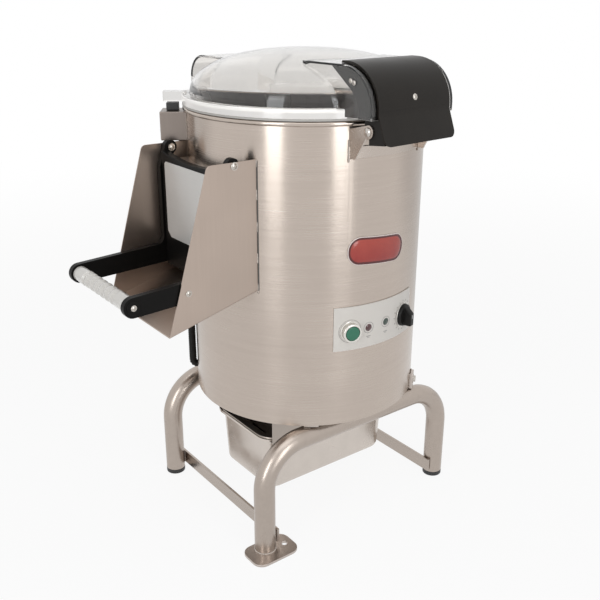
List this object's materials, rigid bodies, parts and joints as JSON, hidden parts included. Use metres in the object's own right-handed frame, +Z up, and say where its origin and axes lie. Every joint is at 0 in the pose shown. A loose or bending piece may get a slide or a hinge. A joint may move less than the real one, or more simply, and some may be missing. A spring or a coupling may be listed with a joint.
{
  "type": "vegetable peeling machine",
  "caption": "Drum-shaped abrasive vegetable peeler on a tubular stand, with a clear hinged lid, a hinged discharge door in a chute, a control panel and a waste pan.",
  "frame": {"origin": "on the floor under the drum's axis, midway between the four feet", "axes": "+Z up along the drum's axis, -Y towards the control panel, -X towards the discharge chute"},
  "size_m": [0.5708, 0.4429, 0.721],
  "materials": {
    "brushed_steel": "brushed stainless sheet",
    "bright_steel": "polished stainless steel",
    "black_plastic": "black moulded plastic",
    "black_rubber": "black rubber",
    "clear_plastic": "clear moulded plastic",
    "grey_plastic": "light grey moulded plastic",
    "grey_sheet": "matt grey sheet",
    "panel_film": "printed film",
    "red_enamel": "glossy red enamel",
    "red_lens": "dark red lens",
    "green_lens": "dark green lens",
    "green_plastic": "green moulded plastic",
    "abrasive_grit": "dark abrasive grit coating",
    "grey_casting": "grey casting",
    "motor_paint": "dark painted motor"
  },
  "bodies": {
    "machine": {"abrasive_liner": "abrasive_grit", "badge_plate": "red_enamel", "bearing_housing": "grey_casting", "bottom_plate": "brushed_steel", "cable_conduit": "black_rubber", "catch_screw_front": "bright_steel", "catch_screw_rear": "bright_steel", "chamber_floor": "brushed_steel", "chute_channel": "brushed_steel", "control_panel": "panel_film", "drain_pipe": "brushed_steel", "drive_belt": "black_rubber", "drum_shell": "brushed_steel", "foot_cap_front_right": "black_rubber", "foot_cap_rear_left": "black_rubber", "foot_plate_front_left": "bright_steel", "foot_plate_rear_right": "bright_steel", "front_stand_tube": "bright_steel", "green_lamp": "green_lens", "hinge_bracket": "bright_steel", "hinge_pin": "bright_steel", "left_cross_bar": "bright_steel", "motor_housing": "motor_paint", "mount_bracket_front_left": "brushed_steel", "mount_bracket_front_right": "brushed_steel", "mount_bracket_rear_left": "brushed_steel", "mount_bracket_rear_right": "brushed_steel", "opening_collar": "brushed_steel", "pan_rail_front": "brushed_steel", "pan_rail_rear": "brushed_steel", "pivot_screw_front": "bright_steel", "pivot_screw_rear": "bright_steel", "rear_stand_tube": "bright_steel", "red_lamp": "red_lens", "right_cross_bar": "bright_steel", "shaft_seal": "black_rubber", "start_bezel": "bright_steel", "start_switch_body": "black_plastic", "switch_box": "brushed_steel", "switch_sensor": "black_plastic", "timer_body": "black_plastic", "timer_dial": "bright_steel"},
    "lid": {"lid_shell": "clear_plastic", "lid_gasket": "black_rubber", "hinge_block": "black_plastic", "hinge_cover": "black_plastic"},
    "door": {"door_panel": "black_plastic", "door_plate": "grey_sheet", "door_arm_front": "black_plastic", "door_arm_rear": "black_plastic", "door_grip": "grey_plastic"},
    "peeling_drive": {"peeling_plate": "abrasive_grit", "plate_nut": "bright_steel", "drive_shaft": "bright_steel", "driven_pulley": "grey_casting"},
    "motor_drive": {"motor_pulley": "grey_casting"},
    "start_push": {"start_button": "green_plastic"},
    "timer_turn": {"timer_knob": "black_plastic"},
    "pan": {"waste_pan": "bright_steel"},
    "basket": {"filter_basket": "bright_steel"}
  },
  "joints": [
    {"name": "lid_hinge", "type": "hinge", "parent": "machine", "child": "lid", "pos_m": [0.01212, -0.19813, 0.63], "axis": [0.9981, 0.061, 0], "range_deg": [0, 85]},
    {"name": "door_hinge", "type": "hinge", "parent": "machine", "child": "door", "pos_m": [-0.188, 0, 0.584], "axis": [0, 1, 0], "range_deg": [0, 75]},
    {"name": "peeling_plate_spin", "type": "hinge", "parent": "machine", "child": "peeling_drive", "pos_m": [0, 0, 0.4], "axis": [0, 0, 1], "continuous": true},
    {"name": "motor_spin", "type": "hinge", "parent": "machine", "child": "motor_drive", "pos_m": [0.08818, 0.06407, 0.24], "axis": [0, 0, 1], "continuous": true},
    {"name": "start_press", "type": "slide", "parent": "machine", "child": "start_push", "axis": [0.279, 0.9603, 0], "range_m": [0, 0.004], "stiffness_N_per_m": 600, "springref_m": -0.002},
    {"name": "timer_dial_turn", "type": "hinge", "parent": "machine", "child": "timer_turn", "pos_m": [0.05487, -0.17091, 0.342], "axis": [-0.3057, 0.9521, 0], "range_deg": [0, 300]},
    {"name": "pan_slide", "type": "slide", "parent": "machine", "child": "pan", "axis": [-1, 0, 0], "range_m": [0, 0.22]},
    {"name": "basket_lift", "type": "slide", "parent": "pan", "child": "basket", "axis": [0, 0, 1], "range_m": [0, 0.038]}
  ],
  "couplings": [
    {"joint": "motor_spin", "follows": "peeling_plate_spin", "ratio": 4.4459}
  ]
}
